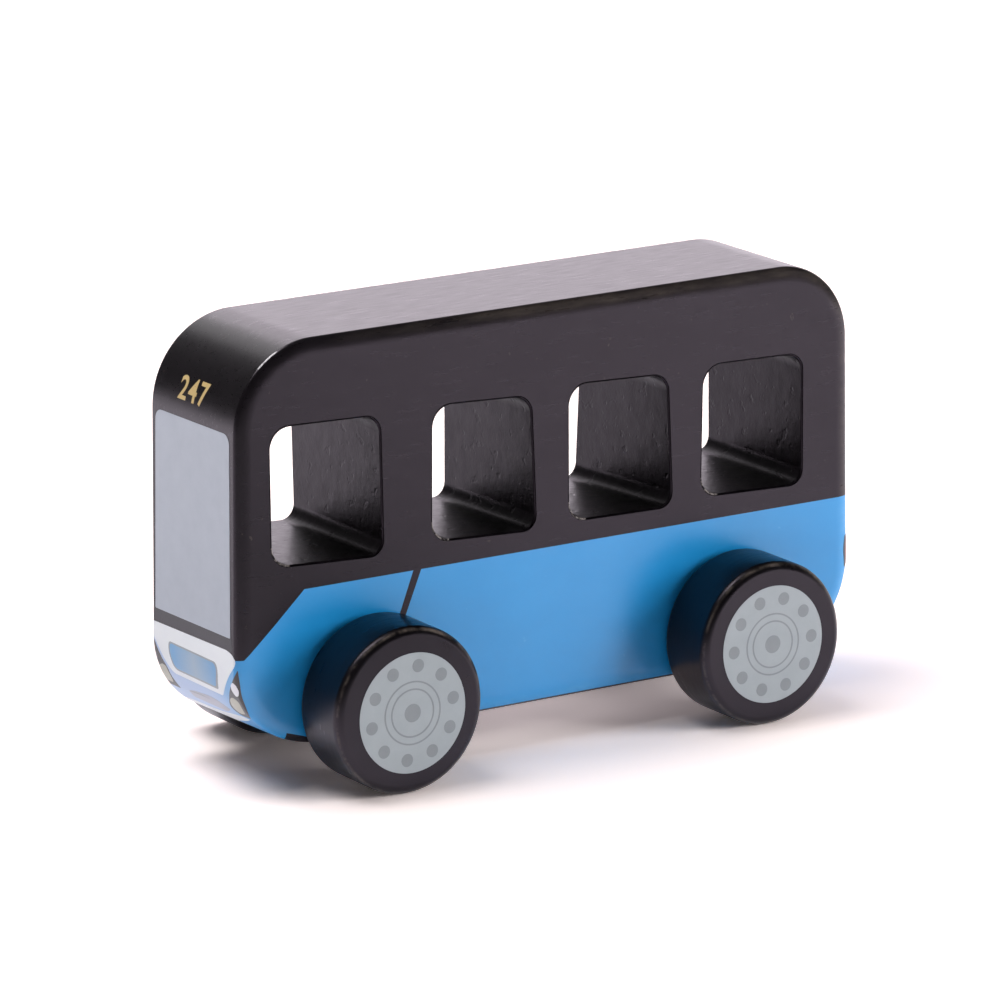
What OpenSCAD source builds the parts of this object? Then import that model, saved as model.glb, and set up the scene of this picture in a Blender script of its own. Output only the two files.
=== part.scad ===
// Wooden toy bus: a solid rounded block with sawn windows, on two dowel axles.
// Lengths are in millimetres. +X is the front of the bus, +Y its left side, +Z is up.
// The origin is on the floor, below the middle of the body.

/* [Body block] */
// Thickness of the board that the body is cut from
body_w = 34; // [26:0.5:46]
// Radius of the two front corners of the side outline
front_corner_r = 18; // [10:0.5:24]
// Radius of the upper rear corner of the side outline
rear_top_r = 16.5; // [10:0.5:24]
// Radius of the lower rear corner of the side outline
rear_low_r = 19.5; // [10:0.5:24]
// How far the sanded soft edge reaches in across each side
edge_reach = 3.5; // [1:0.1:6]
// How deep the sanded soft edge cuts into the board's thickness
edge_depth = 1.5; // [0.5:0.1:4]
// How far the front leans back from its lower corner to its upper corner
front_lean = 0.5; // [0:0.1:5]
// How far the rear leans forward from its lower corner to its upper corner
rear_lean = 0.8; // [0:0.1:5]

/* [Windows] */
// Wall below the windows, from the underside to the sill
sill_h = 37.3; // [32:0.1:46]
// Height of the window openings
window_h = 28; // [20:0.5:34]
// Wall above the windows, up to the roof
head_h = 18; // [12:0.5:26]
// Post between the front face and the front window
front_post_l = 8.1; // [6:0.1:14]
// Length of the front window
front_window_l = 25.8; // [18:0.1:32]
// Wide post behind the front window
door_post_l = 12; // [6:0.1:18]
// Length of each of the other windows
window_l = 24.7; // [18:0.1:30]
// Number of windows behind the wide post
window_count = 3; // [2:1:4]
// Post between two of the other windows
post_l = 8.3; // [5:0.1:14]
// Wall between the last window and the rear face
rear_post_l = 12.9; // [7:0.1:20]
// Corner radius of the window openings
window_r = 4; // [1:0.5:8]

/* [Wheels] */
// Wheel diameter
wheel_d = 34.5; // [28:0.5:40]
// Wheel thickness
wheel_w = 14.8; // [13:0.1:20]
// Radius that softens the wheel's edges
wheel_edge_r = 1.8; // [0.5:0.1:3]
// Depth of the blind socket in the wheel's inner face
socket_depth = 9.5; // [6:0.5:11]
// Distance between the two axles
wheelbase = 88; // [78:0.5:96]
// Distance from the front face back to the front axle
front_overhang = 31; // [26:0.5:38]

/* [Axles] */
// Dowel diameter
axle_d = 6; // [4:0.5:8]
// Height of the axle's centre above the underside of the body
axle_h = 8.55; // [7:0.05:12]
// Chamfer on the dowel's ends
axle_chamfer = 0.6; // [0.2:0.1:1]

/* [Clearances] */
// Gap all round the dowel in the body's cross hole
running_gap = 0.25; // [0.1:0.05:0.6]
// Gap between a wheel and the side of the body
side_gap = 0.6; // [0.3:0.1:2]
// Glue film all round the dowel in the wheel's socket
glue_gap = 0.05; // [0.02:0.01:0.1]
// Glue pocket between the dowel's end and the bottom of the socket
pocket_gap = 0.4; // [0.2:0.1:1]

/* [Hidden] */
$fn = 96;
// Steps in a full turn of the block's corners and of its soft edges
corner_steps = 40;
rim_steps = 24;
// How far a cutter runs past the face that it opens
overrun = 1;

wheel_r = wheel_d / 2;
underside_z = wheel_r - axle_h;
body_h = sill_h + window_h + head_h;
roof_z = underside_z + body_h;
row_l = window_count * window_l + (window_count - 1) * post_l;
body_l = front_post_l + front_window_l + door_post_l + row_l + rear_post_l;
front_x = body_l / 2;
rear_x = -body_l / 2;

front_axle_x = front_x - front_overhang;
rear_axle_x = front_axle_x - wheelbase;
hole_d = axle_d + 2 * running_gap;
socket_d = axle_d + 2 * glue_gap;
wheel_y = body_w / 2 + side_gap;
axle_l = 2 * (wheel_y + socket_depth - pocket_gap);

sill_z = underside_z + sill_h;
front_window_x = front_x - front_post_l - front_window_l;
row_x = front_window_x - door_post_l;

// Corner arcs in the side view, anticlockwise from the lower rear: centre and radius
corner_arcs = [
    [rear_x + rear_low_r, underside_z + rear_low_r, rear_low_r],
    [front_x - front_corner_r, underside_z + front_corner_r, front_corner_r],
    [front_x - front_lean - front_corner_r, roof_z - front_corner_r, front_corner_r],
    [rear_x + rear_lean + rear_top_r, roof_z - rear_top_r, rear_top_r]
];

// Half of a disc's section, from its axis out to its soft rim
module disc_section(r) {
    translate([0, -body_w / 2])
        square([r - edge_reach, body_w]);
    translate([0, edge_depth - body_w / 2])
        square([r, body_w - 2 * edge_depth]);
    for (side = [-1, 1])
        translate([r - edge_reach, side * (body_w / 2 - edge_depth)])
            scale([1, edge_depth / edge_reach])
                circle(r = edge_reach, $fn = rim_steps);
}

// The rounded block, with the side view in the XY plane and its thickness along Z
module block_outline() {
    hull()
        for (arc = corner_arcs)
            translate([arc[0], arc[1]])
                rotate_extrude($fn = corner_steps)
                    disc_section(arc[2]);
}

// A window's outline from its rear lower corner
module window_outline(length) {
    translate([window_r, 0])
        square([length - 2 * window_r, window_h]);
    translate([0, window_r])
        square([length, window_h - 2 * window_r]);
    for (x = [window_r, length - window_r], y = [window_r, window_h - window_r])
        translate([x, y])
            circle(r = window_r);
}

module window_cut(x, length) {
    translate([x, 0, sill_z])
        rotate([90, 0, 0])
            linear_extrude(body_w + 2 * overrun, center = true)
                window_outline(length);
}

module axle_hole(x) {
    translate([x, 0, wheel_r])
        rotate([90, 0, 0])
            cylinder(d = hole_d, h = body_w + 2 * overrun, center = true);
}

module body_block() {
    color("#3d393e")
        difference() {
            rotate([90, 0, 0])
                block_outline();
            window_cut(front_window_x, front_window_l);
            for (i = [1:window_count])
                window_cut(row_x - i * window_l - (i - 1) * post_l, window_l);
            axle_hole(front_axle_x);
            axle_hole(rear_axle_x);
        }
}

module axle(x) {
    straight_l = axle_l - 2 * axle_chamfer;
    tip_d = axle_d - 2 * axle_chamfer;
    color("burlywood")
        translate([x, 0, wheel_r])
            rotate([90, 0, 0]) {
                cylinder(d = axle_d, h = straight_l, center = true);
                for (side = [0, 1])
                    mirror([0, 0, side])
                        translate([0, 0, straight_l / 2])
                            cylinder(d1 = axle_d, d2 = tip_d, h = axle_chamfer);
            }
}

// Half of a wheel's section: the axis is at zero and the inner face at the bottom
module wheel_section() {
    square([wheel_r - wheel_edge_r, wheel_w]);
    translate([0, wheel_edge_r])
        square([wheel_r, wheel_w - 2 * wheel_edge_r]);
    for (y = [wheel_edge_r, wheel_w - wheel_edge_r])
        translate([wheel_r - wheel_edge_r, y])
            circle(r = wheel_edge_r);
}

// side is 1 for the left wheels and -1 for the right ones
module wheel(x, side) {
    color("#2f2c31")
        translate([x, side * wheel_y, wheel_r])
            rotate([-90 * side, 0, 0])
                difference() {
                    rotate_extrude()
                        wheel_section();
                    translate([0, 0, -overrun])
                        cylinder(d = socket_d, h = socket_depth + overrun);
                }
}

body_block();
axle(front_axle_x);  // axle_front
axle(rear_axle_x);  // axle_rear
wheel(front_axle_x, 1);  // wheel_front_left
wheel(front_axle_x, -1);  // wheel_front_right
wheel(rear_axle_x, 1);  // wheel_rear_left
wheel(rear_axle_x, -1);  // wheel_rear_right
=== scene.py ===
import math

import bmesh
import bpy
from mathutils import Euler, Matrix, Vector


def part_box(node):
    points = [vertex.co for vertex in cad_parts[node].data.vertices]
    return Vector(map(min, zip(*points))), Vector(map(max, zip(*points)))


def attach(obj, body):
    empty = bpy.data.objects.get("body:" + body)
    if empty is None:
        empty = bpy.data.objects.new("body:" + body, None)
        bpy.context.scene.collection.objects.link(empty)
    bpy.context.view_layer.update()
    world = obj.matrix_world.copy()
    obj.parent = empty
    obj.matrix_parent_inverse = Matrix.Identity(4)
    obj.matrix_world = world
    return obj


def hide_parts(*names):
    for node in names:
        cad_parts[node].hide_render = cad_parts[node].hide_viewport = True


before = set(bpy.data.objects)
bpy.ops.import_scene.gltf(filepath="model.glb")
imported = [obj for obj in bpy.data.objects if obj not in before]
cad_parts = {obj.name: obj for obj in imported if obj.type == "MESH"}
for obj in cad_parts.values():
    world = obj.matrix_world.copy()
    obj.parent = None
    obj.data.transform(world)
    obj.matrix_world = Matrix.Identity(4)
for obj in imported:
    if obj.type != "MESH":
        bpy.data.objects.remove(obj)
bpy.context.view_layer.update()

# The body is one thick board, sawn to a long outline with round corners and sanded soft all round.
# Four windows are sawn right through it and two holes are drilled across for the axles.
# It is sprayed black, then masked and sprayed blue below the windows.
mm = 0.001
body_low, body_high = [Vector(corner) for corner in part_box("body_block")]
# The films of ink on the two ends stand in this room.
print_room = 0.1 * mm
front_lean = 0.5 * mm
rear_lean = 0.8 * mm
edge_reach = 3.5 * mm
edge_depth = 1.5 * mm
block_size = body_high - body_low - Vector((2 * print_room, 0, 0))
block_middle = (body_low + body_high) / 2
side_y = block_size.y / 2
front_x = body_high.x - print_room
corner_segments = 26
edge_segments = 12
# A length too small to see, for tests of place
tiny = 0.01 * mm
# Radius of each corner, by its end of the block (1 is the front) and its height (1 is the roof)
corner_radii = {(1, 1): 18 * mm, (1, -1): 18 * mm, (-1, 1): 16.5 * mm, (-1, -1): 19.5 * mm}


def mark(piece, kind, test):
    """Goes to edit mode and selects just the vertices, edges or faces that pass the test."""
    bpy.context.view_layer.objects.active = piece
    bpy.ops.object.mode_set(mode="EDIT")
    bpy.ops.mesh.select_mode(type=kind)
    bpy.ops.mesh.select_all(action="DESELECT")
    mesh = bmesh.from_edit_mesh(piece.data)
    for part in {"VERT": mesh.verts, "EDGE": mesh.edges, "FACE": mesh.faces}[kind]:
        part.select_set(test(part))
    mesh.select_flush_mode()
    bmesh.update_edit_mesh(piece.data)


def mark_all(piece):
    mark(piece, "FACE", lambda face: True)


def leave_edit_mode(piece):
    if piece.mode != "OBJECT":
        bpy.ops.object.mode_set(mode="OBJECT")


def place_in_mesh(piece):
    """Leaves edit mode and puts the object's place, turn and scale into its mesh."""
    bpy.context.view_layer.objects.active = piece
    leave_edit_mode(piece)
    bpy.ops.object.select_all(action="DESELECT")
    piece.select_set(True)
    bpy.ops.object.transform_apply(location=True, rotation=True, scale=True)


def middle_of(part):
    return sum((vertex.co for vertex in part.verts), Vector()) / len(part.verts)


def runs_across(edge):
    return abs(edge.verts[0].co.y - edge.verts[1].co.y) > side_y


def at_corner(place, end, up):
    """Whether a place is at this end of the block, and in its upper or lower half."""
    return place.x * end > 0 and (place.z - block_middle.z) * up > 0


def apply_modifier(piece, kind, **settings):
    """Adds one modifier with its settings and applies it."""
    leave_edit_mode(piece)
    bpy.context.view_layer.objects.active = piece
    modifier = piece.modifiers.new(kind.lower(), kind)
    for key, value in settings.items():
        setattr(modifier, key, value)
    bpy.ops.object.modifier_apply(modifier=modifier.name)


bpy.ops.object.select_all(action="DESELECT")
bpy.ops.mesh.primitive_cube_add(size=1, location=block_middle, scale=block_size)
body = bpy.context.object
body.name = "body_painted"
place_in_mesh(body)

# The ends lean in, and the lean runs on through the corners.
straight_height = block_size.z - corner_radii[1, 1] - corner_radii[1, -1]
for (end, up), radius in corner_radii.items():
    lean = front_lean if end > 0 else rear_lean
    run_on = lean * radius / straight_height
    shift = -lean - run_on if up > 0 else run_on
    mark(body, "VERT", lambda v: at_corner(v.co, end, up))
    bpy.ops.transform.translate(value=(end * shift, 0, 0))
for (end, up), radius in corner_radii.items():
    mark(body, "EDGE", lambda e: runs_across(e) and at_corner(middle_of(e), end, up))
    bpy.ops.mesh.bevel(
        offset=radius, offset_type="OFFSET", segments=corner_segments, profile=0.5, affect="EDGES"
    )

# The lower front corner is shaped by hand, and has come out rounder on the left side.
low_front_reach = 21 * mm
front_low = corner_radii[1, -1]
mark(
    body, "VERT",
    lambda v: v.co.y > 0
    and v.co.x > body_high.x - front_low - mm
    and v.co.z < body_low.z + front_low + tiny,
)
bpy.ops.transform.resize(value=(low_front_reach / front_low, 1, 1), center_override=(front_x, 0, 0))

# The sanded edge reaches further across the side than into the thickness, so it is rounded on a
# block that is stretched in thickness and pressed back.
stretch = edge_reach / edge_depth
mark_all(body)
bpy.ops.transform.resize(value=(1, stretch, 1), center_override=(0, 0, 0))
mark(body, "EDGE", lambda e: abs(middle_of(e).y) > stretch * side_y - tiny)
bpy.ops.mesh.bevel(
    offset=edge_reach, offset_type="OFFSET", segments=edge_segments, profile=0.5, affect="EDGES"
)
mark_all(body)
bpy.ops.transform.resize(value=(1, 1 / stretch, 1), center_override=(0, 0, 0))

# The masked edges of the blue, in the side view. A waist line runs all round below the windows,
# slopes down behind the front pillar and leaves a slanted strip of black for the door.
waist_z = 41.2 * mm
pillar_foot_z = 28.6 * mm
# The slope and the door are ahead of this place.
slope_limit_x = -50 * mm
slope_top = Vector((58.9, 41.2)) * mm
slope_mid = Vector((65.9, 34.75)) * mm
slope_foot = Vector((72.9, 28.6)) * mm
door_front = (Vector((33.35, 41.2)) * mm, Vector((36.75, 32.3)) * mm)
door_rear = (Vector((31.45, 41.2)) * mm, Vector((35.15, 32.3)) * mm)
# Faces whose normal leans to the side by more than this take the door's lines.
side_facing = 0.3
under_z = 9.3 * mm
under_front = Vector((63.2, 12.1)) * mm
under_back = Vector((54.6, 9.3)) * mm


def score(piece, start, end, test):
    """Cuts the faces that pass the test along a line in the side view."""
    mark(piece, "FACE", test)
    along = end - start
    bpy.ops.mesh.bisect(
        plane_co=(start.x, 0, start.y), plane_no=(-along.y, 0, along.x), threshold=0.001 * mm
    )


def line_x(start, end, z):
    return start.x + (end.x - start.x) * (z - start.y) / (end.y - start.y)


def line_z(start, end, x):
    return start.y + (end.y - start.y) * (x - start.x) / (end.x - start.x)


def between_lines(face):
    middle = middle_of(face)
    return pillar_foot_z < middle.z < waist_z and middle.x > slope_limit_x


level = Vector((1, 0))
upright = Vector((0, 1))
for height in (waist_z, pillar_foot_z, under_z):
    score(body, Vector((0, height)), Vector((0, height)) + level, lambda f: True)
for end in (1, -1):
    under_tip = Vector((end * under_front.x, under_front.y))
    under_heel = Vector((end * under_back.x, under_back.y))
    score(body, under_tip, under_tip + upright, lambda f: middle_of(f).z < pillar_foot_z)
    score(body, under_heel, under_heel + upright, lambda f: middle_of(f).z < pillar_foot_z)
    score(
        body, under_heel, under_tip,
        lambda f: middle_of(f).z < pillar_foot_z and middle_of(f).x * end > under_back.x,
    )
score(body, slope_mid, slope_mid + level, between_lines)
score(body, slope_top, slope_mid, lambda f: between_lines(f) and middle_of(f).z > slope_mid.y)
score(body, slope_mid, slope_foot, lambda f: between_lines(f) and middle_of(f).z < slope_mid.y)
for door_line in (door_front, door_rear):
    score(body, *door_line, lambda f: middle_of(f).z < waist_z and abs(f.normal.y) > side_facing)


def is_blue(middle):
    """Whether the masked coat of blue reaches this place on the block."""
    if middle.z > waist_z:
        return False
    if middle.z > slope_mid.y and middle.x > line_x(slope_top, slope_mid, middle.z):
        return False
    if pillar_foot_z < middle.z < slope_mid.y and middle.x > line_x(slope_mid, slope_foot, middle.z):
        return False
    on_side = abs(middle.y) > side_y - edge_depth
    if line_x(*door_rear, middle.z) < middle.x < line_x(*door_front, middle.z) and on_side:
        return False
    if abs(middle.x) < under_front.x:
        reach = max(under_z, line_z(under_back, under_front, abs(middle.x)))
        return middle.z > reach
    return True


# Places of the four paints in the body's list of materials
black_place, blue_place, window_place, rim_place = range(4)
bpy.ops.object.mode_set(mode="OBJECT")
for face in body.data.polygons:
    face.material_index = blue_place if is_blue(face.center) else black_place

# Each window is sawn and filed by hand, so its corners stray a little. They are given on the left
# side, from the upper front one round. The saw also wanders on its way through the board: the turn
# and the shift are those of the opening on the right side.
windows = (
    (((66.45, 74.95), (41.1, 74.15), (40.5, 45.6), (66.15, 46.8)), 0.0, (0.2, 0.0)),
    (((28.45, 74.35), (5.2, 73.25), (4.0, 45.5), (28.65, 46.6)), 2.6, (-0.35, 0.0)),
    (((-4.25, 74.25), (-28.2, 73.25), (-29.4, 45.5), (-4.35, 46.0)), 5.2, (-0.05, 0.0)),
    (((-37.35, 73.8), (-61.9, 73.2), (-62.1, 45.6), (-36.95, 46.5)), 0.0, (0.0, 0.0)),
)
window_rounding = (4.6 * mm, 3.6 * mm, 3.4 * mm, 4.0 * mm)
window_segments = 10
rim_radius = 0.4 * mm
rim_segments = 4
rim_turns = [i * math.pi / 2 / rim_segments for i in range(rim_segments + 1)]
# The rim flares in steps, each given as how far out and how wide. A last one clears the block.
rim_steps = [
    (math.sin(b) - math.sin(a), math.cos(a) - math.cos(b)) for a, b in zip(rim_turns, rim_turns[1:])
]
rim_steps.append((1, 0))
# Half the size of the cube that each saw is drawn out from
start_half = 5 * mm
near = 0.1 * mm
# Least part of a normal along Y for a face across the board
end_facing = 0.9


def side_view(place):
    return Vector((place.x, place.z))


def cut_away(piece, cutter):
    """Takes the cutter's shape out of the piece and throws the cutter away."""
    leave_edit_mode(cutter)
    apply_modifier(piece, "BOOLEAN", operation="DIFFERENCE", solver="EXACT", object=cutter)
    bpy.data.objects.remove(cutter)


for corners, far_turn, far_shift in windows:
    corners = [Vector(corner) * mm for corner in corners]
    centre = sum(corners, Vector((0, 0))) / 4
    bpy.ops.object.select_all(action="DESELECT")
    bpy.ops.mesh.primitive_cube_add(
        size=2 * start_half, location=(centre.x, 0, centre.y),
        scale=(1, (side_y - rim_radius) / start_half, 1),
    )
    saw = bpy.context.object
    place_in_mesh(saw)
    for corner, (front, up) in zip(corners, ((1, 1), (-1, 1), (-1, -1), (1, -1))):
        start = centre + Vector((front, up)) * start_half
        mark(saw, "VERT", lambda v: (side_view(v.co) - start).length < near)
        bpy.ops.transform.translate(value=(corner.x - start.x, 0, corner.y - start.y))
    for corner, rounding in zip(corners, window_rounding):
        mark(
            saw, "EDGE",
            lambda e: runs_across(e) and (side_view(e.verts[0].co) - corner).length < near,
        )
        bpy.ops.mesh.bevel(
            offset=rounding, offset_type="OFFSET", segments=window_segments, profile=0.5, affect="EDGES"
        )
    mark(saw, "FACE", lambda f: f.normal.y < -end_facing)
    bpy.ops.transform.translate(value=(far_shift[0] * mm, 0, far_shift[1] * mm))
    bpy.ops.transform.rotate(
        value=math.radians(far_turn), orient_axis="Y", center_override=(centre.x, -side_y, centre.y)
    )
    width, height = corners[0].x - corners[1].x, corners[0].y - corners[3].y
    for side in (1, -1):
        mark(saw, "FACE", lambda f: f.normal.y * side > end_facing)
        for out, spread in rim_steps:
            spread *= rim_radius
            push = (0, side * out * rim_radius, 0)
            bpy.ops.mesh.extrude_region_move(TRANSFORM_OT_translate={"value": push})
            bpy.ops.transform.resize(
                value=(1 + 2 * spread / width, 1, 1 + 2 * spread / height),
                center_override=(centre.x, 0, centre.y),
            )
    cut_away(body, saw)

hole_radius = 3.25 * mm
for name in ("axle_front", "axle_rear"):
    low, high = [Vector(corner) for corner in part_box(name)]
    bpy.ops.object.select_all(action="DESELECT")
    bpy.ops.mesh.primitive_cylinder_add(
        vertices=64, radius=hole_radius, depth=2.2 * side_y,
        location=(low + high) / 2, rotation=(math.pi / 2, 0, 0),
    )
    drill = bpy.context.object
    place_in_mesh(drill)
    cut_away(body, drill)

# The faces inside the windows have a paint of their own, and the front end of each sill is worn.
window_low_z = 44 * mm
window_high_z = 77 * mm
window_reach_x = 69 * mm
flat_margin = 0.005 * mm
worn_reach = 5 * mm
sill_ends = [Vector(corners[3]) * mm for corners, far_turn, far_shift in windows]
for face in body.data.polygons:
    middle = face.center
    in_row = window_low_z < middle.z < window_high_z and abs(middle.x) < window_reach_x
    if in_row and abs(middle.y) < side_y - flat_margin:
        worn = min((side_view(middle) - end).length for end in sill_ends) < worn_reach
        on_rim = abs(middle.y) > side_y - rim_radius
        face.material_index = rim_place if worn and on_rim else window_place


def add_node(tree, kind, inputs=None, **settings):
    """Adds a shader node. Inputs are values, or the outputs of other nodes."""
    node = tree.nodes.new(kind)
    for key, value in settings.items():
        setattr(node, key, value)
    for socket, value in (inputs or {}).items():
        if isinstance(value, bpy.types.NodeSocket):
            tree.links.new(value, node.inputs[socket])
        else:
            node.inputs[socket].default_value = value
    return node


def new_finish(name):
    """A new material, its node tree and its shader."""
    material = bpy.data.materials.new(name)
    material.use_nodes = True
    return material, material.node_tree, material.node_tree.nodes["Principled BSDF"]


def object_place(tree):
    return add_node(tree, "ShaderNodeTexCoord").outputs["Object"]


def noise(tree, scale, offset=(0, 0, 0), detail=4, roughness=0.6):
    """Noise on object coordinates, stretched by its scale along each axis."""
    mapping = add_node(
        tree, "ShaderNodeMapping", {"Vector": object_place(tree), "Location": offset, "Scale": scale}
    )
    return add_node(
        tree, "ShaderNodeTexNoise",
        {"Vector": mapping.outputs["Vector"], "Scale": 1, "Detail": detail, "Roughness": roughness},
    ).outputs["Fac"]


def ranged(tree, value, low, high, to_low, to_high):
    return add_node(
        tree, "ShaderNodeMapRange",
        {"Value": value, "From Min": low, "From Max": high, "To Min": to_low, "To Max": to_high},
    ).outputs["Result"]


def maths(tree, operation, *values):
    return add_node(tree, "ShaderNodeMath", dict(enumerate(values)), operation=operation).outputs[0]


def product(tree, first, second):
    return maths(tree, "MULTIPLY", first, second)


def length_of(tree, vector):
    return add_node(tree, "ShaderNodeVectorMath", {0: vector}, operation="LENGTH").outputs["Value"]


def along_axis(tree, axis):
    return add_node(tree, "ShaderNodeSeparateXYZ", {0: object_place(tree)}).outputs[axis]


def from_middle(tree, axis):
    """Distance from the middle of the toy along an axis."""
    return maths(tree, "ABSOLUTE", along_axis(tree, axis))


def tones(tree, value, low, high, dark, light):
    """A colour that goes from dark to light as a value goes from low to high."""
    ramp = add_node(tree, "ShaderNodeValToRGB", {"Fac": value})
    ramp.color_ramp.elements[0].position = low
    ramp.color_ramp.elements[0].color = (*dark, 1)
    ramp.color_ramp.elements[1].position = high
    ramp.color_ramp.elements[1].color = (*light, 1)
    return ramp.outputs["Color"]


def over(tree, share, under, colour):
    """A colour, or the output of a node, laid over another colour by its share."""
    mix = add_node(tree, "ShaderNodeMix", data_type="RGBA")
    sockets = {socket.identifier: socket for socket in mix.inputs}
    tree.links.new(share, sockets["Factor_Float"])
    tree.links.new(under, sockets["A_Color"])
    if isinstance(colour, bpy.types.NodeSocket):
        tree.links.new(colour, sockets["B_Color"])
    else:
        sockets["B_Color"].default_value = (*colour, 1)
    return [socket for socket in mix.outputs if socket.identifier == "Result_Color"][0]


def bumped(tree, shader, *heights):
    """Lays bumps over each other on a shader, each a height and its depth."""
    last = None
    for height, depth in heights:
        inputs = {"Height": height, "Strength": 1, "Distance": depth}
        if last:
            inputs["Normal"] = last
        last = add_node(tree, "ShaderNodeBump", inputs).outputs["Normal"]
    tree.links.new(last, shader.inputs["Normal"])


# Most values of a noise lie in this span.
noise_span = (0.3, 0.7)
# Outward across the soft edge, the rubbing grows over the first of these spans and falls over the second.
rub_starts = (15.6 * mm, 16.4 * mm)
rub_ends = (16.75 * mm, 16.99 * mm)
# The rubbing fades out towards the front.
rub_fades = (10 * mm, 55 * mm)


def painted_wood(name, dark, light, worn, gloss, relief, glint, shine):
    """Sprayed satin paint over wood: the grain just shows, and the soft edges are rubbed."""
    material, tree, shader = new_finish(name)
    grain = noise(tree, (150, 1500, 1500))
    mottle = noise(tree, (70, 110, 110), (3.1, 0, 0))
    rubbing = noise(tree, (120, 420, 420), (0, 5.3, 0), 5, 0.65)
    specks = noise(tree, (620, 620, 620), (2.4, 0, 0), 2, 0.5)
    orange_peel = noise(tree, (900, 900, 900), (0, 0, 1.2), 2, 0.5)
    across = from_middle(tree, "Y")
    soft_edge = product(
        tree, ranged(tree, across, *rub_starts, 0, 1), ranged(tree, across, *rub_ends, 1, 0)
    )
    from_front = ranged(tree, along_axis(tree, "X"), *rub_fades, 1, 0)
    rubbed = product(tree, from_front, ranged(tree, rubbing, 0.35, 0.65, 0.1, 0.8))
    wear = product(tree, soft_edge, rubbed)
    coat = tones(tree, mottle, *noise_span, dark, light)
    scuffed = over(tree, ranged(tree, specks, 0.74, 0.8, 0, 0.8), coat, worn)
    tree.links.new(over(tree, wear, scuffed, worn), shader.inputs["Base Color"])
    tree.links.new(ranged(tree, grain, *noise_span, *gloss), shader.inputs["Roughness"])
    shader.inputs["Specular Tint"].default_value = glint
    shader.inputs["Specular IOR Level"].default_value = shine
    bumped(tree, shader, (orange_peel, 0.0025 * mm), (grain, relief))
    return material


black_dark = (0.0045, 0.0036, 0.0045)
black_light = (0.0080, 0.0064, 0.0080)
black_glint = (1, 0.86, 1, 1)
black_shine = 0.42
black_paint = painted_wood(
    "black_paint", black_dark, black_light, (0.050, 0.040, 0.034),
    (0.26, 0.35), 0.006 * mm, black_glint, black_shine,
)
blue_paint = painted_wood(
    "blue_paint", (0.013, 0.282, 0.665), (0.017, 0.302, 0.700), (0.050, 0.350, 0.730),
    (0.28, 0.36), 0.003 * mm, (1, 1, 1, 1), 0.87,
)

# A painted highlight: a short pale streak is laid into the black's colour on the edge above the left of the
# windscreen, and stands for a glint of the lamp above.
glint_spans = (("X", 63.8, 68.6, 0.6), ("Y", 15.5, 15.95, 0.12))
glint_foot = (84 * mm, 86 * mm)
glint_pale = (0.72, 0.70, 0.72)
tree = black_paint.node_tree
painted_glint = noise(tree, (900, 900, 900), (0, 0, 7.1), 2, 0.5)
painted_glint = ranged(tree, painted_glint, 0.36, 0.5, 0, 1)
for axis, start, end, fade in glint_spans:
    place = along_axis(tree, axis)
    painted_glint = product(tree, painted_glint, ranged(tree, place, start * mm, (start + fade) * mm, 0, 1))
    painted_glint = product(tree, painted_glint, ranged(tree, place, (end - fade) * mm, end * mm, 1, 0))
painted_glint = product(tree, painted_glint, ranged(tree, along_axis(tree, "Z"), *glint_foot, 0, 1))
coat = tree.nodes["Principled BSDF"].inputs["Base Color"]
# The painted highlight is laid over the black coat here.
tree.links.new(over(tree, painted_glint, coat.links[0].from_socket, glint_pale), coat)

# The paint in the windows lies over saw marks, lumps and pits.
window_paint, tree, shader = new_finish("window_paint")
saw_marks = noise(tree, (1100, 240, 420), (0, 0, 0), 5, 0.65)
lumps = noise(tree, (330, 330, 260), (1.7, 0, 0))
pits = noise(tree, (520, 400, 420), (0, 4.1, 0), 2, 0.5)
coat = tones(tree, lumps, 0.35, 0.65, (0.0015, 0.0012, 0.0015), (0.006, 0.0048, 0.006))
tree.links.new(coat, shader.inputs["Base Color"])
tree.links.new(ranged(tree, lumps, *noise_span, 0.40, 0.32), shader.inputs["Roughness"])
shader.inputs["Specular Tint"].default_value = (1, 0.80, 1, 1)
shader.inputs["Specular IOR Level"].default_value = 0.31
pits = ranged(tree, pits, 0.28, 0.38, 0, 1)
bumped(tree, shader, (pits, 0.05 * mm), (saw_marks, 0.025 * mm), (lumps, 0.10 * mm))

# The paint is rubbed thin at the front end of each sill and shows pale specks.
rim_paint, tree, shader = new_finish("rim_paint")
specks = noise(tree, (1300, 1300, 1300), (0, 2.2, 0), 3, 0.6)
bare = ranged(tree, specks, 0.42, 0.54, 0, 0.95)
coat = tones(tree, specks, *noise_span, black_dark, black_light)
tree.links.new(over(tree, bare, coat, (0.300, 0.265, 0.255)), shader.inputs["Base Color"])
tree.links.new(ranged(tree, specks, *noise_span, 0.28, 0.4), shader.inputs["Roughness"])
shader.inputs["Specular Tint"].default_value = black_glint
bumped(tree, shader, (specks, 0.01 * mm))


def smooth(piece, angle=32):
    """Shades the soft edges smooth and keeps the flats flat."""
    leave_edit_mode(piece)
    bpy.ops.object.select_all(action="DESELECT")
    bpy.context.view_layer.objects.active = piece
    piece.select_set(True)
    bpy.ops.object.shade_smooth_by_angle(angle=math.radians(angle))
    apply_modifier(piece, "WEIGHTED_NORMAL", keep_sharp=True, weight=80)


smooth(body)
for material in (black_paint, blue_paint, window_paint, rim_paint):
    body.data.materials.append(material)
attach(body, "bus_body")
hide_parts("body_block")

# The face of the bus is printed in thin films of ink over the paint: a grey windscreen, a dark band,
# a white grille panel with a blue inset, a pale apron with an intake, and a white lip.
# All of it is laid on from straight ahead, so it follows the round of the block.
ink_height = 0.03 * mm


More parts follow.
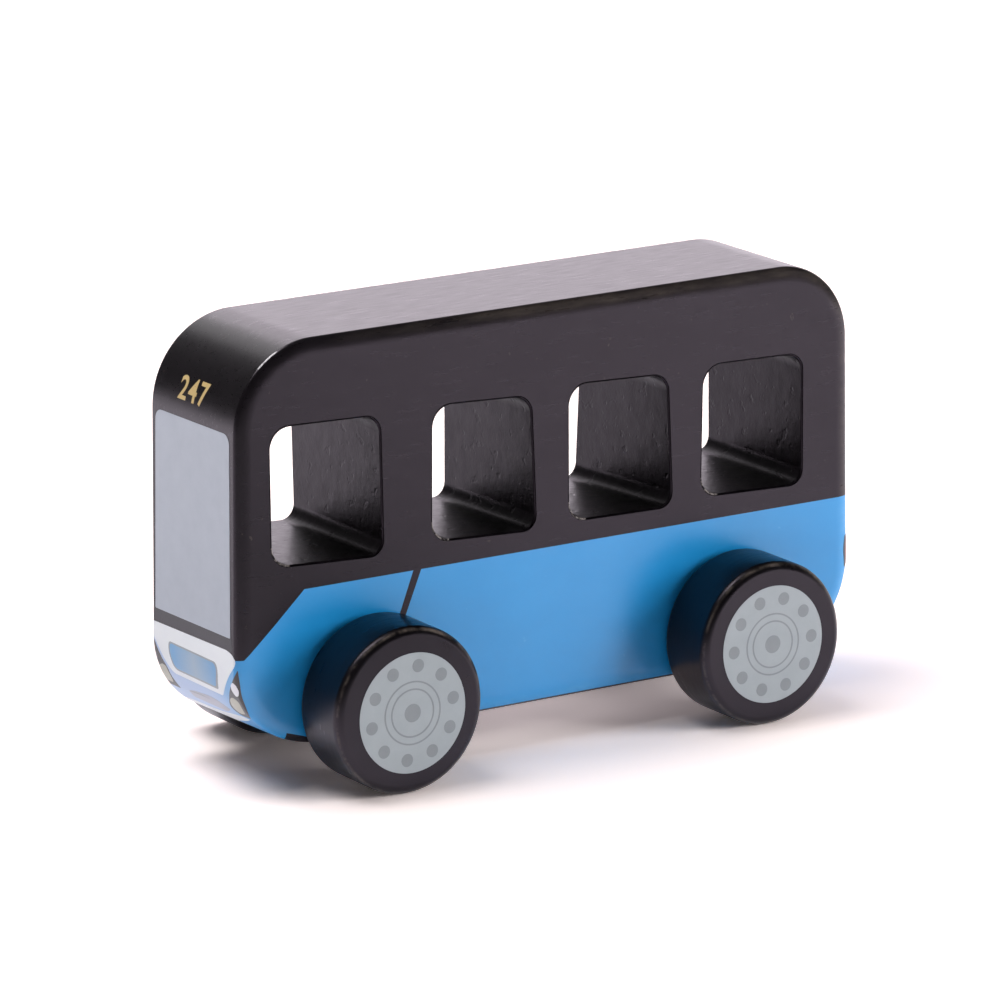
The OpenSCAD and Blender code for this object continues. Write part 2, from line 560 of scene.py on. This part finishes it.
def cut_in_strips(film, coarse, fine, flat_half):
    """Cuts a flat film across and up, finely where the block's soft edge will bend it."""
    corners = [vertex.co for vertex in film.data.vertices]
    places = []
    for axis, step in ((2, coarse), (1, fine)):
        low = min(corner[axis] for corner in corners)
        high = max(corner[axis] for corner in corners)
        count = int((high - low) / step)
        places += [(axis, low + (high - low) * i / (count + 1)) for i in range(1, count + 1)]
    mark_all(film)
    for axis, place in places:
        if axis == 1 and abs(place) < flat_half:
            continue
        normal = Vector((0, axis == 1, axis == 2))
        bpy.ops.mesh.select_all(action="SELECT")
        bpy.ops.mesh.bisect(plane_co=normal * place, plane_no=normal, threshold=0.0005 * mm)
    bpy.ops.object.mode_set(mode="OBJECT")


def lay_on_block(film, turn, lift, material):
    """Presses a flat film on the block from ahead of it, turned about Z, and gives it a thickness."""
    film.rotation_euler = (0, 0, turn)
    bpy.context.view_layer.update()
    apply_modifier(
        film, "SHRINKWRAP", wrap_method="PROJECT", target=body, offset=lift * ink_height,
        use_project_x=True, use_negative_direction=True, use_positive_direction=False,
    )
    place_in_mesh(film)
    mark_all(film)
    bpy.ops.mesh.normals_make_consistent(inside=False)
    outward = Vector((math.cos(turn), math.sin(turn), 0))
    faces = bmesh.from_edit_mesh(film.data).faces
    if sum(face.normal.dot(outward) * face.calc_area() for face in faces) < 0:
        bpy.ops.mesh.flip_normals()
    sunk = 0.01 * mm
    apply_modifier(film, "SOLIDIFY", thickness=lift * ink_height + sunk, offset=-1)
    smooth(film, 40)
    film.data.materials.append(material)
    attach(film, "bus_body")


stand_off = 120 * mm
# How close to its start or to its goal a vertex is when it counts as that corner of the outline
start_near = 1e-5
goal_near = 1e-6


def print_film(name, outline, turn, material, lift=1, fine=0.14 * mm, flat_half=15.2 * mm):
    """Prints a film on the block. Each corner is given across and up, with how far it is rounded."""
    bpy.ops.object.select_all(action="DESELECT")
    bpy.ops.mesh.primitive_circle_add(vertices=len(outline), radius=1, fill_type="NGON")
    film = bpy.context.object
    film.name = name
    bpy.ops.object.mode_set(mode="EDIT")
    spots = [vertex.co.copy() for vertex in bmesh.from_edit_mesh(film.data).verts]
    goals = [Vector((stand_off, across * mm, up * mm)) for across, up, rounding in outline]
    for spot, goal in zip(spots, goals):
        mark(film, "VERT", lambda v: (v.co - spot).length < start_near)
        bpy.ops.transform.translate(value=goal - spot)
    for goal, (across, up, rounding) in zip(goals, outline):
        if rounding:
            mark(film, "VERT", lambda v: (v.co - goal).length < goal_near)
            bpy.ops.mesh.bevel(offset=rounding * mm, offset_type="OFFSET", segments=8, affect="VERTICES")
    bpy.ops.object.mode_set(mode="OBJECT")
    cut_in_strips(film, 0.5 * mm, fine, flat_half)
    lay_on_block(film, turn, lift, material)


def printed_ink(name, dark, light, gloss=(0.28, 0.38)):
    """Screen-printed ink: an even colour with a faint mottle and a fine tooth."""
    material, tree, shader = new_finish(name)
    mottle = noise(tree, (240, 240, 240))
    tooth = noise(tree, (2600, 2600, 2600), (0, 0, 0), 2, 0.5)
    tree.links.new(tones(tree, mottle, *noise_span, dark, light), shader.inputs["Base Color"])
    tree.links.new(ranged(tree, tooth, *noise_span, *gloss), shader.inputs["Roughness"])
    bumped(tree, shader, (tooth, 0.0012 * mm))
    return material


screen_grey = printed_ink("screen_grey", (0.400, 0.427, 0.505), (0.430, 0.457, 0.535))
band_grey = printed_ink("band_grey", (0.012, 0.009, 0.017), (0.018, 0.014, 0.024))
panel_white = printed_ink("panel_white", (0.815, 0.825, 0.880), (0.845, 0.855, 0.900))
line_grey = printed_ink("line_grey", (0.300, 0.310, 0.350), (0.340, 0.350, 0.390))
slot_grey = printed_ink("slot_grey", (0.390, 0.385, 0.470), (0.440, 0.435, 0.520))


def faded_ink(name, place, low, high, first, last):
    """Printed ink that fades from one colour to another between two places."""
    material = printed_ink(name, first, last)
    tree = material.node_tree
    faded = tones(tree, place(tree), low, high, first, last)
    tree.links.new(faded, tree.nodes["Principled BSDF"].inputs["Base Color"])
    return material


# The apron fades from a pale violet to the blue of the block beside the left lamp, and the inset of
# the grille from a pale middle to blue at its ends.
pale_blue = faded_ink(
    "pale_blue", lambda tree: along_axis(tree, "Y"), 6 * mm, 12 * mm,
    (0.425, 0.528, 0.775), (0.190, 0.430, 0.760),
)
inset_blue = faded_ink(
    "inset_blue", lambda tree: from_middle(tree, "Y"), 1 * mm, 7 * mm,
    (0.345, 0.445, 0.575), (0.165, 0.365, 0.640),
)

ahead = 0.0
print_film(
    "windscreen_print",
    ((14.2, 74.15, 2.2), (-14.4, 73.9, 2.2), (-14.85, 32.5, 0.3), (14.4, 32.8, 0.3)),
    ahead, screen_grey, 2,
)
print_film(
    "band_print",
    ((14.8, 33.2, 0.6), (-14.95, 33.0, 0.6), (-15.1, 29.4, 0.3), (13.4, 29.8, 0), (15.2, 30.2, 0.8)),
    ahead, band_grey,
)
print_film(
    "apron_print",
    (
        (13.0, 29.0, 0), (-13.0, 29.0, 0), (-16.6, 26.8, 0.3), (-16.4, 13.0, 0.3), (-4.0, 12.8, 2),
        (4.0, 13.6, 2), (13.6, 14.9, 0.4), (14.2, 16.2, 0.4), (13.9, 20.0, 0.6),
        (15.2, 24.6, 0), (15.7, 26.6, 0.5),
    ),
    ahead, pale_blue,
)
print_film(
    "grille_panel_print",
    (
        (13.6, 30.15, 1.2), (-16.4, 29.6, 0), (-16.9, 27.9, 0.5), (-14.4, 25.1, 1), (-12.3, 22.3, 1),
        (-10.3, 19.7, 1.2), (8.9, 19.5, 0.5), (11.2, 22.0, 1.5), (13.4, 24.6, 1),
        (16.1, 27.5, 0.9), (15.9, 29.2, 0.9),
    ),
    ahead, panel_white, 2,
)
print_film(
    "grille_line_print",
    (
        (9.0, 26.65, 1.1), (-9.7, 26.75, 0.8), (-9.9, 24.3, 1), (-8.9, 20.8, 1.4), (8.0, 20.65, 0.5),
        (9.45, 24.6, 1),
    ),
    ahead, line_grey, 2.5,
)
print_film(
    "grille_inset_print",
    (
        (8.5, 26.3, 1.1), (-9.3, 26.4, 0.8), (-9.4, 24.3, 1), (-8.5, 21.2, 1.2), (7.3, 21.1, 0.5),
        (8.8, 24.6, 1),
    ),
    ahead, inset_blue, 3,
)
print_film(
    "intake_print",
    (
        (7.9, 15.9, 0.5), (5.2, 17.15, 1.2), (1.9, 17.6, 1.5), (-4.5, 17.05, 1), (-7.6, 16.3, 0.4),
        (-7.4, 14.85, 0.5), (5.1, 14.8, 0.8),
    ),
    ahead, slot_grey, 2,
)
print_film(
    "intake_line_print",
    (
        (0.8, 16.6, 0), (-1.8, 16.85, 0.5), (-4.6, 16.7, 0.5), (-7.5, 16.25, 0), (-4.6, 16.35, 0.5),
        (-1.8, 16.5, 0.5),
    ),
    ahead, line_grey, 2.5,
)
print_film(
    "lip_print",
    (
        (14.3, 15.3, 0.2), (11.6, 15.4, 1), (6.8, 14.65, 1), (3.4, 14.1, 1), (-2.4, 13.4, 1),
        (-10.2, 13.2, 1), (-16.0, 12.6, 0.2), (-14.0, 9.8, 0.5), (0.0, 10.6, 1),
        (6.0, 12.7, 1), (11.6, 14.3, 1),
    ),
    ahead, panel_white, 2,
)

# A route number is printed in gold on the brow, as on the blind of a real bus.
# It is cut in strips, so that it follows the round of the corner.
number_gold = printed_ink("number_gold", (0.620, 0.440, 0.190), (0.720, 0.540, 0.260))
number_size = 6.4 * mm
number_middle = Vector((stand_off, -1.2 * mm, 79.6 * mm))
number_spacing = 1.15
number_weight = 0.12 * mm
bpy.ops.object.select_all(action="DESELECT")
bpy.ops.object.text_add(rotation=(math.pi / 2, 0, math.pi / 2))
number = bpy.context.object
number.data.body = "247"
number.data.align_x = "CENTER"
number.data.align_y = "CENTER"
number.data.size = number_size
number.data.space_character = number_spacing
number.data.offset = number_weight
number.location = number_middle
bpy.ops.object.convert(target="MESH")
number.name = "number_print"
place_in_mesh(number)
cut_in_strips(number, 0.35 * mm, 2 * mm, 0)
lay_on_block(number, ahead, 1, number_gold)

# Each lamp is printed round the corner between the front or the rear and the side. Its outline is
# drawn on a plane that is turned half way round that corner, from where the two would meet.
lamp_dark = printed_ink("lamp_dark", (0.055, 0.046, 0.048), (0.070, 0.060, 0.062))
lamp_white = printed_ink("lamp_white", (0.830, 0.800, 0.870), (0.860, 0.830, 0.890))
lamp_khaki = printed_ink("lamp_khaki", (0.440, 0.405, 0.330), (0.530, 0.500, 0.430))
lamp_red = printed_ink("lamp_red", (0.210, 0.030, 0.034), (0.260, 0.045, 0.045))
corner_place = (front_x - side_y) / math.sqrt(2) / mm
lamp_fine = 0.16 * mm


def round_corner(points, side):
    return [(side * (across - corner_place), up, rounding) for across, up, rounding in points][::side]


# The right lamp has slipped further round its corner than the left one.
left_lamp = (
    (
        (-0.1, 26.7, 0.15), (0.28, 23.9, 1), (0.45, 21.3, 1), (1.15, 18.6, 1), (1.65, 15.9, 0.1),
        (-0.75, 15.6, 0.7), (-2.95, 16.65, 0.7), (-3.4, 17.9, 0.6), (-2.6, 21.4, 1), (-1.4, 24.2, 1),
    ),
    (
        (-1.5, 23.9, 0.35), (-0.6, 23.5, 0.35), (0.0, 22.3, 0.4), (-0.15, 21.1, 0.35),
        (-0.95, 20.8, 0.35), (-1.9, 21.9, 0.4), (-2.05, 23.0, 0.4),
    ),
    (
        (-2.4, 20.0, 0.3), (-1.5, 20.1, 0.4), (-0.4, 19.5, 0.4), (0.1, 18.0, 0.4), (0.5, 16.65, 0.15),
        (-0.85, 16.2, 0.4), (-2.0, 16.7, 0.4), (-2.9, 17.8, 0.4), (-2.9, 19.2, 0.4),
    ),
)
right_lamp = (
    (
        (-0.1, 27.4, 0.15), (0.9, 23.9, 1), (1.2, 21.0, 1), (1.6, 18.6, 1), (1.95, 15.8, 0.1),
        (-1.5, 15.8, 0.3), (-1.9, 17.0, 0.4), (-2.2, 18.6, 0.6), (-2.65, 20.5, 0.6),
        (-1.8, 23.7, 1), (-1.2, 25.6, 1),
    ),
    (
        (-0.4, 23.9, 0.35), (0.3, 23.5, 0.35), (0.7, 22.3, 0.4), (0.6, 21.1, 0.35), (0.1, 20.8, 0.35),
        (-0.7, 21.9, 0.4), (-0.8, 23.0, 0.4),
    ),
    (
        (-2.3, 20.6, 0.2), (-1.5, 20.8, 0.2), (-0.2, 20.2, 0.4), (0.5, 18.1, 0.4), (0.95, 16.9, 0.15),
        (-0.7, 16.7, 0.3), (-1.6, 17.7, 0.4), (-2.05, 19.0, 0.5),
    ),
)
tail_lamp = ((0.3, 32.6, 0.3), (0.8, 29.6, 1), (0.3, 25.7, 0.3), (-2.8, 25.7, 0.6), (-2.8, 32.6, 0.6))
tail_lens = ((-0.3, 32.1, 0.3), (0.15, 29.6, 1), (-0.3, 26.2, 0.3), (-2.4, 26.2, 0.5), (-2.4, 32.1, 0.5))
for side, word, (dark, lens, signal) in ((1, "left", left_lamp), (-1, "right", right_lamp)):
    turn = side * math.radians(45)
    print_film("lamp_body_" + word, round_corner(dark, side), turn, lamp_dark, 2, lamp_fine, 0)
    print_film("lamp_lens_" + word, round_corner(lens, side), turn, lamp_white, 3, lamp_fine, 0)
    print_film("lamp_signal_" + word, round_corner(signal, side), turn, lamp_khaki, 3, lamp_fine, 0)
    rear_turn = math.pi - turn
    print_film("tail_lamp_" + word, round_corner(tail_lamp, -side), rear_turn, lamp_dark, 2, lamp_fine, 0)
    print_film("tail_lens_" + word, round_corner(tail_lens, -side), rear_turn, lamp_red, 3, lamp_fine, 0)

# The wheels are turned from thick round stock and glued on the ends of the dowels, so no axle end shows.
# They are dipped in black paint, and a grey hub is printed on each outer face.
wheel_radius = 17.24 * mm
wheel_edge = 1.8 * mm
wheel_segments = 10
socket_radius = 3.05 * mm
socket_depth = 9.5 * mm
hub_room = 0.06 * mm
hub_radius = 12.4 * mm
hub_rings = (4.9 * mm, 6.45 * mm)
hub_ring_half = 0.17 * mm
hub_dots = 10
dot_radius = 1.36 * mm
dot_circle = 9.7 * mm
cap_radius = 1.9 * mm
hub_lift, hub_thickness = 0.03 * mm, 0.04 * mm
mark_lift, mark_thickness = 0.05 * mm, 0.03 * mm
large_disc = 4 * mm

wheel_paint, tree, shader = new_finish("wheel_paint")
turned = noise(tree, (150, 1200, 150), (0, 0, 0), 3, 0.6)
wheel_mottle = noise(tree, (120, 120, 120))
wheel_coat = tones(tree, wheel_mottle, *noise_span, (0.0012, 0.0010, 0.0014), (0.0028, 0.0024, 0.0032))
# The paint is rubbed thin along the outer edge, which is found by its distance from the axle.
axle_place = 44 * mm
worn_from_axle = (16.3 * mm, 16.7 * mm)
worn_from_middle = (31.3 * mm, 31.7 * mm)
aside = maths(tree, "SUBTRACT", from_middle(tree, "X"), axle_place)
above = maths(tree, "SUBTRACT", along_axis(tree, "Z"), wheel_radius)
spoke = add_node(tree, "ShaderNodeCombineXYZ", {"X": aside, "Y": above}).outputs[0]
from_axle = length_of(tree, spoke)
rubbing = noise(tree, (260, 260, 260), (0, 3.7, 0), 5, 0.65)
worn_edge = product(
    tree, ranged(tree, from_axle, *worn_from_axle, 0, 1),
    ranged(tree, from_middle(tree, "Y"), *worn_from_middle, 0, 1),
)
worn_edge = product(tree, worn_edge, ranged(tree, rubbing, 0.42, 0.62, 0, 0.9))
tree.links.new(over(tree, worn_edge, wheel_coat, (0.120, 0.098, 0.086)), shader.inputs["Base Color"])
tree.links.new(ranged(tree, turned, *noise_span, 0.27, 0.37), shader.inputs["Roughness"])
shader.inputs["Specular Tint"].default_value = black_glint
shader.inputs["Specular IOR Level"].default_value = black_shine
bumped(tree, shader, (wheel_mottle, 0.02 * mm), (turned, 0.008 * mm))
hub_grey = printed_ink("hub_grey", (0.347, 0.374, 0.402), (0.376, 0.403, 0.431), (0.34, 0.44))
hub_mark = printed_ink("hub_mark", (0.232, 0.250, 0.270), (0.260, 0.276, 0.294), (0.34, 0.44))


def disc_film(radius, inner, y, thickness, where):
    """A round film or a ring of ink, facing +Y, with its outer face at y."""
    bpy.ops.object.select_all(action="DESELECT")
    bpy.ops.mesh.primitive_circle_add(
        vertices=96 if radius > large_disc else 40, radius=radius, fill_type="NOTHING" if inner else "NGON",
        location=(where[0], y, where[1]), rotation=(-math.pi / 2, 0, 0),
    )
    film = bpy.context.object
    place_in_mesh(film)
    if inner:
        mark(film, "EDGE", lambda e: True)
        bpy.ops.mesh.extrude_region_move()
        bpy.ops.transform.resize(
            value=(inner / radius, 1, inner / radius), center_override=(where[0], y, where[1])
        )
        mark_all(film)
        bpy.ops.mesh.normals_make_consistent(inside=False)
        if sum(face.normal.y for face in bmesh.from_edit_mesh(film.data).faces) < 0:
            bpy.ops.mesh.flip_normals()
    apply_modifier(film, "SOLIDIFY", thickness=thickness, offset=-1)
    return film


def join_all(pieces, name):
    bpy.ops.object.select_all(action="DESELECT")
    for piece in pieces:
        piece.select_set(True)
    bpy.context.view_layer.objects.active = pieces[0]
    bpy.ops.object.join()
    joined = bpy.context.object
    joined.name = name
    return joined


# The prints of the front and the rear hubs are turned by different angles, and the front left one is a
# little off the middle.
wheels = (
    ("wheel_front_left", "front_wheelset", 26, (-0.38, -0.4)),
    ("wheel_front_right", "front_wheelset", 26, (0, 0)),
    ("wheel_rear_left", "rear_wheelset", 34, (0, 0)),
    ("wheel_rear_right", "rear_wheelset", 34, (0, 0)),
)
for node, body_name, phase, stray in wheels:
    low, high = [Vector(corner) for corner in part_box(node)]
    centre = (low + high) / 2
    side = 1 if centre.y > 0 else -1
    width = high.y - low.y - hub_room
    bpy.ops.object.select_all(action="DESELECT")
    bpy.ops.mesh.primitive_cylinder_add(
        vertices=128, radius=wheel_radius, depth=width, rotation=(-math.pi / 2, 0, 0),
        location=(centre.x, abs(centre.y) - hub_room / 2, centre.z),
    )
    wheel = bpy.context.object
    wheel.name = node + "_turned"
    place_in_mesh(wheel)
    outer_y = abs(centre.y) + width / 2 - hub_room / 2
    mark(wheel, "EDGE", lambda e: abs(e.verts[0].co.y - e.verts[1].co.y) < near)
    bpy.ops.mesh.bevel(
        offset=wheel_edge, offset_type="OFFSET", segments=wheel_segments, profile=0.5, affect="EDGES"
    )
    mark(wheel, "FACE", lambda f: f.normal.y < -0.99 and len(f.verts) > 8)
    bpy.ops.mesh.inset(thickness=wheel_radius - wheel_edge - socket_radius)
    bpy.ops.mesh.extrude_region_move(TRANSFORM_OT_translate={"value": (0, socket_depth, 0)})
    smooth(wheel)
    wheel.data.materials.append(wheel_paint)

    hub_x, hub_z = centre.x + stray[0] * mm, centre.z + stray[1] * mm
    hub = disc_film(hub_radius, 0, outer_y + hub_lift, hub_thickness, (hub_x, hub_z))
    hub.name = node + "_hub"
    hub.data.materials.append(hub_grey)
    mark_y = outer_y + mark_lift
    marks = [disc_film(cap_radius, 0, mark_y, mark_thickness, (hub_x, hub_z))]
    for ring in hub_rings:
        outside, inside = ring + hub_ring_half, ring - hub_ring_half
        marks.append(disc_film(outside, inside, mark_y, mark_thickness, (hub_x, hub_z)))
    for i in range(hub_dots):
        angle = math.radians(phase + i * 360 / hub_dots)
        spot = (hub_x + dot_circle * math.cos(angle), hub_z + dot_circle * math.sin(angle))
        marks.append(disc_film(dot_radius, 0, mark_y, mark_thickness, spot))
    hub_marks = join_all(marks, node + "_hub_marks")
    hub_marks.data.materials.append(hub_mark)
    for piece in (wheel, hub, hub_marks):
        if side < 0:
            mark_all(piece)
            bpy.ops.transform.rotate(
                value=math.pi, orient_axis="Z", center_override=(centre.x, 0, centre.z)
            )
            bpy.ops.object.mode_set(mode="OBJECT")
        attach(piece, body_name)
    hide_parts(node)

# The axles are plain wooden dowels, left bare, that turn in the block's cross holes.
# Only a sliver of each shows between the block and the wheels.
dowel_wood, tree, shader = new_finish("dowel_wood_grain")
rings = noise(tree, (1500, 60, 1500))
grain_tone = tones(tree, rings, *noise_span, (0.50, 0.33, 0.17), (0.66, 0.48, 0.28))
tree.links.new(grain_tone, shader.inputs["Base Color"])
tree.links.new(ranged(tree, rings, *noise_span, 0.62, 0.5), shader.inputs["Roughness"])
bumped(tree, shader, (rings, 0.02 * mm))
for name in ("axle_front", "axle_rear"):
    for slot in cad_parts[name].material_slots:
        slot.material = dowel_wood

# The studio is a matt white floor that runs out to a white backdrop, with a ceiling that mirrors dark.
# Soft lamps stand above, behind at three heights, ahead of the bus, at its rear and to the right of the
# camera. A grey card lies on the floor at the front, where only reflections meet it.
bpy.ops.object.select_all(action="DESELECT")
bpy.ops.mesh.primitive_plane_add(size=30)
floor = bpy.context.object
floor.name = "studio_floor"
floor_white, tree, shader = new_finish("floor_white")
rays = add_node(tree, "ShaderNodeLightPath").outputs
mirrored = maths(tree, "MAXIMUM", rays["Is Glossy Ray"], rays["Is Transmission Ray"])
floor_tone = tones(tree, mirrored, 0, 1, (0.93, 0.93, 0.93), (1.46, 1.40, 1.48))
# The floor beyond the toy, which the walls of the windows mirror, is brighter towards the front.
beyond = product(tree, mirrored, ranged(tree, along_axis(tree, "Y"), -0.12, -0.08, 1, 0))
beyond_tone = tones(tree, along_axis(tree, "X"), 0.10, 0.18, (0.95, 0.91, 0.96), (1.90, 1.82, 1.93))
floor_tone = over(tree, beyond, floor_tone, beyond_tone)
floor_tone = over(tree, rays["Is Camera Ray"], floor_tone, (1.43, 1.27, 1.24))
tree.links.new(floor_tone, shader.inputs["Base Color"])
shader.inputs["Roughness"].default_value = 0.9
shader.inputs["Specular IOR Level"].default_value = 0.1
# Painted light: the floor glows in a patch below the block, and so stands in for the light that creeps in
# under it.
painted_glow_strength = 0.32
below_block = add_node(
    tree, "ShaderNodeMapping",
    {"Vector": object_place(tree), "Location": (0.25, 0, 0), "Scale": (20, 36, 1)},
).outputs["Vector"]
painted_glow_below = ranged(tree, length_of(tree, below_block), 0.2, 1.0, painted_glow_strength, 0)
# Far from the lamps the floor is shown as white as the backdrop that it runs out to.
far_span = (0.7, 1.6)
far_glow = 1.25
seen = maths(tree, "MAXIMUM", rays["Is Camera Ray"], rays["Is Transmission Ray"])
far_white = product(tree, seen, ranged(tree, length_of(tree, object_place(tree)), *far_span, 0, far_glow))
# The floor's emission is the painted glow below the block plus the even white far out.
tree.links.new(maths(tree, "ADD", painted_glow_below, far_white), shader.inputs["Emission Strength"])
shader.inputs["Emission Color"].default_value = (1, 0.86, 0.88, 1)
floor.data.materials.append(floor_white)

bpy.ops.object.select_all(action="DESELECT")
bpy.ops.mesh.primitive_plane_add(size=1.0, location=(0.45, 0.60, 0.002))
card = bpy.context.object
card.name = "studio_card"
card_grey, tree, shader = new_finish("card_grey")
shader.inputs["Base Color"].default_value = (0.55, 0.55, 0.55, 1)
shader.inputs["Roughness"].default_value = 0.9
card.data.materials.append(card_grey)
card.visible_camera = False
card.visible_diffuse = False
card.visible_shadow = False

world = bpy.data.worlds.new("studio_white")
bpy.context.scene.world = world
world.use_nodes = True
tree = world.node_tree
backdrop = tree.nodes["Background"]
rays = add_node(tree, "ShaderNodeLightPath").outputs
way = add_node(tree, "ShaderNodeTexCoord").outputs["Generated"]
height = add_node(tree, "ShaderNodeSeparateXYZ", {0: way}).outputs["Z"]
# The backdrop is mirrored only behind the toy, on the side away from the camera.
away = (-0.546, -0.838, 0)
unlit = 0.04
room_light = 0.035
behind = add_node(tree, "ShaderNodeVectorMath", {0: way, 1: away}, operation="DOT_PRODUCT").outputs["Value"]
backdrop_share = product(
    tree, ranged(tree, height, 0.35, 0.65, 1, unlit), ranged(tree, behind, 0.55, 0.95, unlit, 1)
)
seen = maths(tree, "MAXIMUM", rays["Is Camera Ray"], rays["Is Transmission Ray"])
mirror = rays["Is Glossy Ray"]
lit = add_node(tree, "ShaderNodeMix", {"Factor": mirror, "A": room_light, "B": backdrop_share})
strength = add_node(tree, "ShaderNodeMix", {"Factor": seen, "A": lit.outputs[0], "B": 1.0})
tree.links.new(strength.outputs[0], backdrop.inputs["Strength"])
backdrop.inputs["Color"].default_value = (1, 1, 1, 1)


def soft_lamp(name, place, size, watts, colour=(1, 1, 1)):
    """A square soft lamp that faces the middle of the toy."""
    bpy.ops.object.light_add(type="AREA", location=place)
    lamp = bpy.context.object
    lamp.name = name
    lamp.data.shape = "SQUARE"
    lamp.data.size = size
    lamp.data.energy = watts
    lamp.data.color = colour
    lamp.rotation_euler = (block_middle - Vector(place)).to_track_quat("-Z", "Y").to_euler()
    return lamp


soft_lamp("lamp_overhead", (0.36, -0.27, 1.13), 0.7, 11.0)
soft_lamp("lamp_behind", (-0.75, -1.00, 0.46), 1.0, 3.65, (1, 0.85, 1))
soft_lamp("lamp_behind_high", (-0.15, -1.00, 0.78), 0.5, 1.0)
soft_lamp("lamp_behind_low", (-0.3, -1.20, 0.15), 0.4, 3.0)
# The next three light the toy but are not mirrored in it.
soft_lamp("lamp_ahead", (1.05, 0.4, 0.2), 0.4, 1.9).visible_glossy = False
soft_lamp("lamp_rear", (-1.0, -0.25, 0.45), 0.6, 1.3).visible_glossy = False
soft_lamp("lamp_beside_camera", (-0.95, 0.85, 0.48), 0.7, 15).visible_glossy = False

# The camera looks at the left side from in front, a little above, through a long lens.
# Its place, its turn and its lens were fitted together with the proportions of the bus.
view_azimuth = math.radians(146.93)
view_elevation = math.radians(14.70)
view_roll = math.radians(-0.12)
view_target = Vector((1.51, 0, 47.45)) * mm
view_distance = 1.36027
back = Vector((
    math.sin(view_azimuth) * math.cos(view_elevation),
    -math.cos(view_azimuth) * math.cos(view_elevation),
    math.sin(view_elevation),
))
bpy.ops.object.camera_add(location=view_target + view_distance * back)
camera = bpy.context.object
view_turn = Euler((math.pi / 2 - view_elevation, 0, view_azimuth)).to_matrix()
camera.rotation_euler = (view_turn @ Matrix.Rotation(view_roll, 3, "Z")).to_euler()
camera.data.sensor_width = 36
camera.data.lens = 239.23
camera.data.clip_end = 100
bpy.context.scene.camera = camera
bpy.context.scene.view_settings.view_transform = "Standard"
